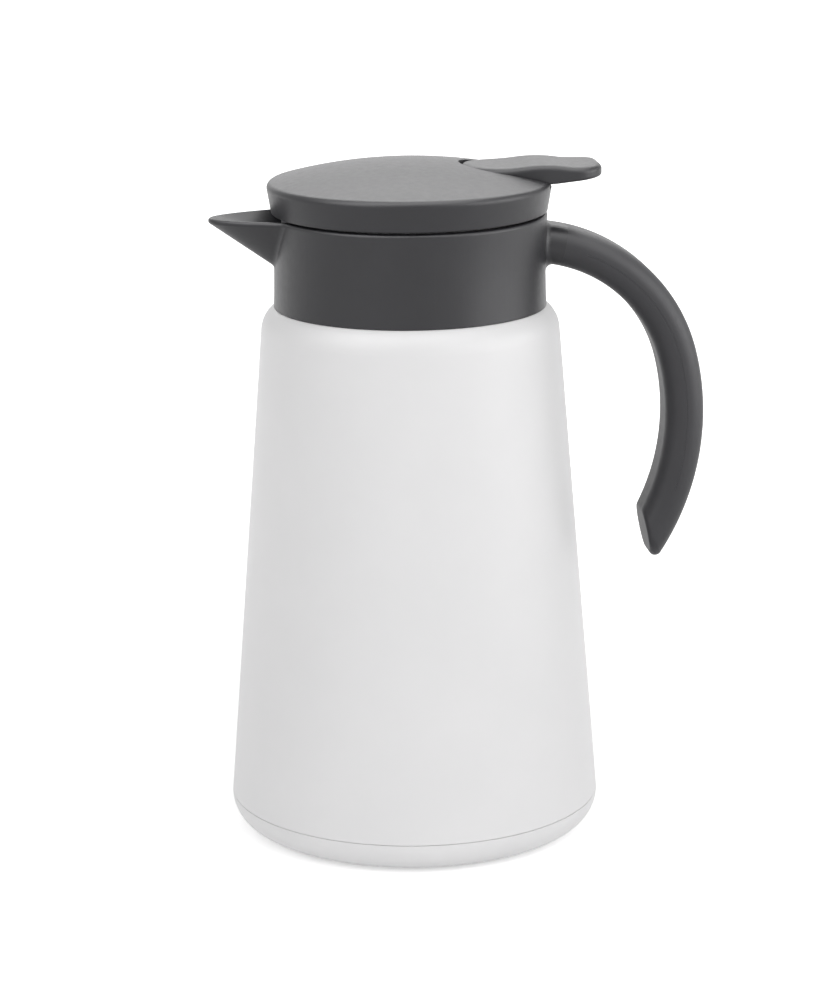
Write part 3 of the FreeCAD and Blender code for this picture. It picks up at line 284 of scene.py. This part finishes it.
materials = {
    "white_coat": white_coat(),
    "grey_plastic": plastic("grey_plastic", GREY_COLOURS, GREY_ROUGH_SHARES, GRAIN),
    "inner_plastic": plastic("inner_plastic", INNER_COLOURS, INNER_ROUGH_SHARES, INNER_GRAIN),
    "steel": steel(),
    "silicone": silicone("silicone", SILICONE_COLOURS),
    "foot_rubber": foot_rubber(),
}
slot_of = {row["node"]: row["material_slot"] for row in frame["record"]["subparts"]}
# The handle's halves meet in a tight, matte seam, and the seal behind the lid's gap is painted grey to
# set how dark the gap reads (painted shade)
# The handle's plastic is the grey plastic painted lighter, as painted light
handle_plastic = plastic("handle_plastic", HANDLE_PAINTED_LIGHT_COLOURS, HANDLE_ROUGH_SHARES, GRAIN, SEAM_SOFTNESS)
special = {
    "rim_seal": silicone("dark_silicone", GAP_SHADE_SILICONE_COLOURS),
    "handle_shell": handle_plastic,
    "handle_cover": handle_plastic,
}


def dress(node):
    """Give a node its material and its slot."""
    node.data.materials.clear()
    node.data.materials.append(special.get(node.name) or materials[slot_of[node.name]])
    node.data.shade_smooth()


# Valve spring: a copy of the spring's mesh that rides on the lid, in place of the hidden CAD spring

def make_spring():
    spring = bpy.data.objects.new("valve_spring_coil", nodes["valve_spring"].data.copy())
    scene.collection.objects.link(spring)
    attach(spring, "lid")
    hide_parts("valve_spring")
    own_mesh(spring)


# Floor, light and camera

def direct_view(tree):
    """One for rays that are seen, mirrored or let through, and zero for rays that light."""
    path = add_node(tree, "ShaderNodeLightPath")
    kinds = ("Is Camera Ray", "Is Glossy Ray", "Is Transmission Ray")
    return total(tree, *(path.outputs[kind] for kind in kinds))


def make_floor():
    """Pale floor that glows more the farther it is from the part."""
    bpy.ops.mesh.primitive_plane_add(size=FLOOR_SIZE, location=(0, 0, -FLOOR_DROP))
    floor = bpy.context.object
    floor.name = "floor"
    material, tree, shader = new_material("floor")
    shader.inputs["Base Color"].default_value = FLOOR_COLOUR
    shader.inputs["Roughness"].default_value = FLOOR_ROUGH_SHARE
    shader.inputs["Specular IOR Level"].default_value = 0
    reach = add_node(tree, "ShaderNodeVectorMath", operation="LENGTH")
    tree.links.new(place(tree), reach.inputs[0])
    glow = add_node(tree, "ShaderNodeEmission")
    strength = spread(tree, reach.outputs["Value"], FLOOR_GLOW_NEAR, FLOOR_GLOW_FAR,
                      FLOOR_FADE_START, FLOOR_FADE_END)
    tree.links.new(strength, glow.inputs["Strength"])
    both = add_node(tree, "ShaderNodeAddShader")
    pick = add_node(tree, "ShaderNodeMixShader")
    tree.links.new(shader.outputs["BSDF"], both.inputs[0])
    tree.links.new(glow.outputs["Emission"], both.inputs[1])
    tree.links.new(direct_view(tree), pick.inputs["Fac"])
    tree.links.new(shader.outputs["BSDF"], pick.inputs[1])
    tree.links.new(both.outputs["Shader"], pick.inputs[2])
    tree.links.new(pick.outputs["Shader"], tree.nodes["Material Output"].inputs["Surface"])
    floor.data.materials.append(material)


def make_world():
    """White surroundings that light the part less than they show."""
    world = bpy.data.worlds.new("studio")
    world.use_nodes = True
    scene.world = world
    tree = world.node_tree
    light = tree.nodes["Background"]
    light.inputs["Color"].default_value = WHITE
    light.inputs["Strength"].default_value = SKY_LIGHT
    seen = add_node(tree, "ShaderNodeBackground", {"Color": WHITE, "Strength": SKY_SEEN})
    pick = add_node(tree, "ShaderNodeMixShader")
    tree.links.new(direct_view(tree), pick.inputs["Fac"])
    tree.links.new(light.outputs["Background"], pick.inputs[1])
    tree.links.new(seen.outputs["Background"], pick.inputs[2])
    tree.links.new(pick.outputs["Shader"], tree.nodes["World Output"].inputs["Surface"])


def add_light(name, spot, size, power, card):
    """Add a soft box; a card is one that only shows in reflections."""
    data = bpy.data.lights.new(name, "AREA")
    data.shape = "RECTANGLE"
    data.size, data.size_y = size
    data.energy = power
    light = bpy.data.objects.new(name, data)
    scene.collection.objects.link(light)
    light.visible_diffuse = not card
    light.location = spot
    light.rotation_euler = (Vector(AIM) - Vector(spot)).to_track_quat("-Z", "Y").to_euler()


def make_camera():
    azimuth, pitch = math.radians(CAMERA_AZIMUTH), math.radians(CAMERA_PITCH)
    ahead = Vector((-math.sin(azimuth), math.cos(azimuth), 0))
    right = Vector((math.cos(azimuth), math.sin(azimuth), 0))
    data = bpy.data.cameras.new("camera")
    data.sensor_width = SENSOR
    data.lens = FOCAL_PIXELS / IMAGE_HEIGHT * SENSOR
    data.clip_start = CLIP_START
    data.clip_end = CLIP_END
    camera = bpy.data.objects.new("camera", data)
    scene.collection.objects.link(camera)
    camera.location = right * CAMERA_SIDESTEP - ahead * CAMERA_DISTANCE + Vector((0, 0, CAMERA_HEIGHT))
    look = ahead * math.cos(pitch) - Vector((0, 0, math.sin(pitch)))
    roll = Matrix.Rotation(math.radians(CAMERA_ROLL), 3, "Z").to_quaternion()
    camera.rotation_mode = "QUATERNION"
    camera.rotation_quaternion = look.to_track_quat("-Z", "Y") @ roll
    scene.camera = camera


for node in nodes.values():
    dress(node)
make_spring()
make_floor()
make_world()
for light in LIGHTS:
    add_light(*light)
make_camera()
scene.view_settings.view_transform = "Standard"
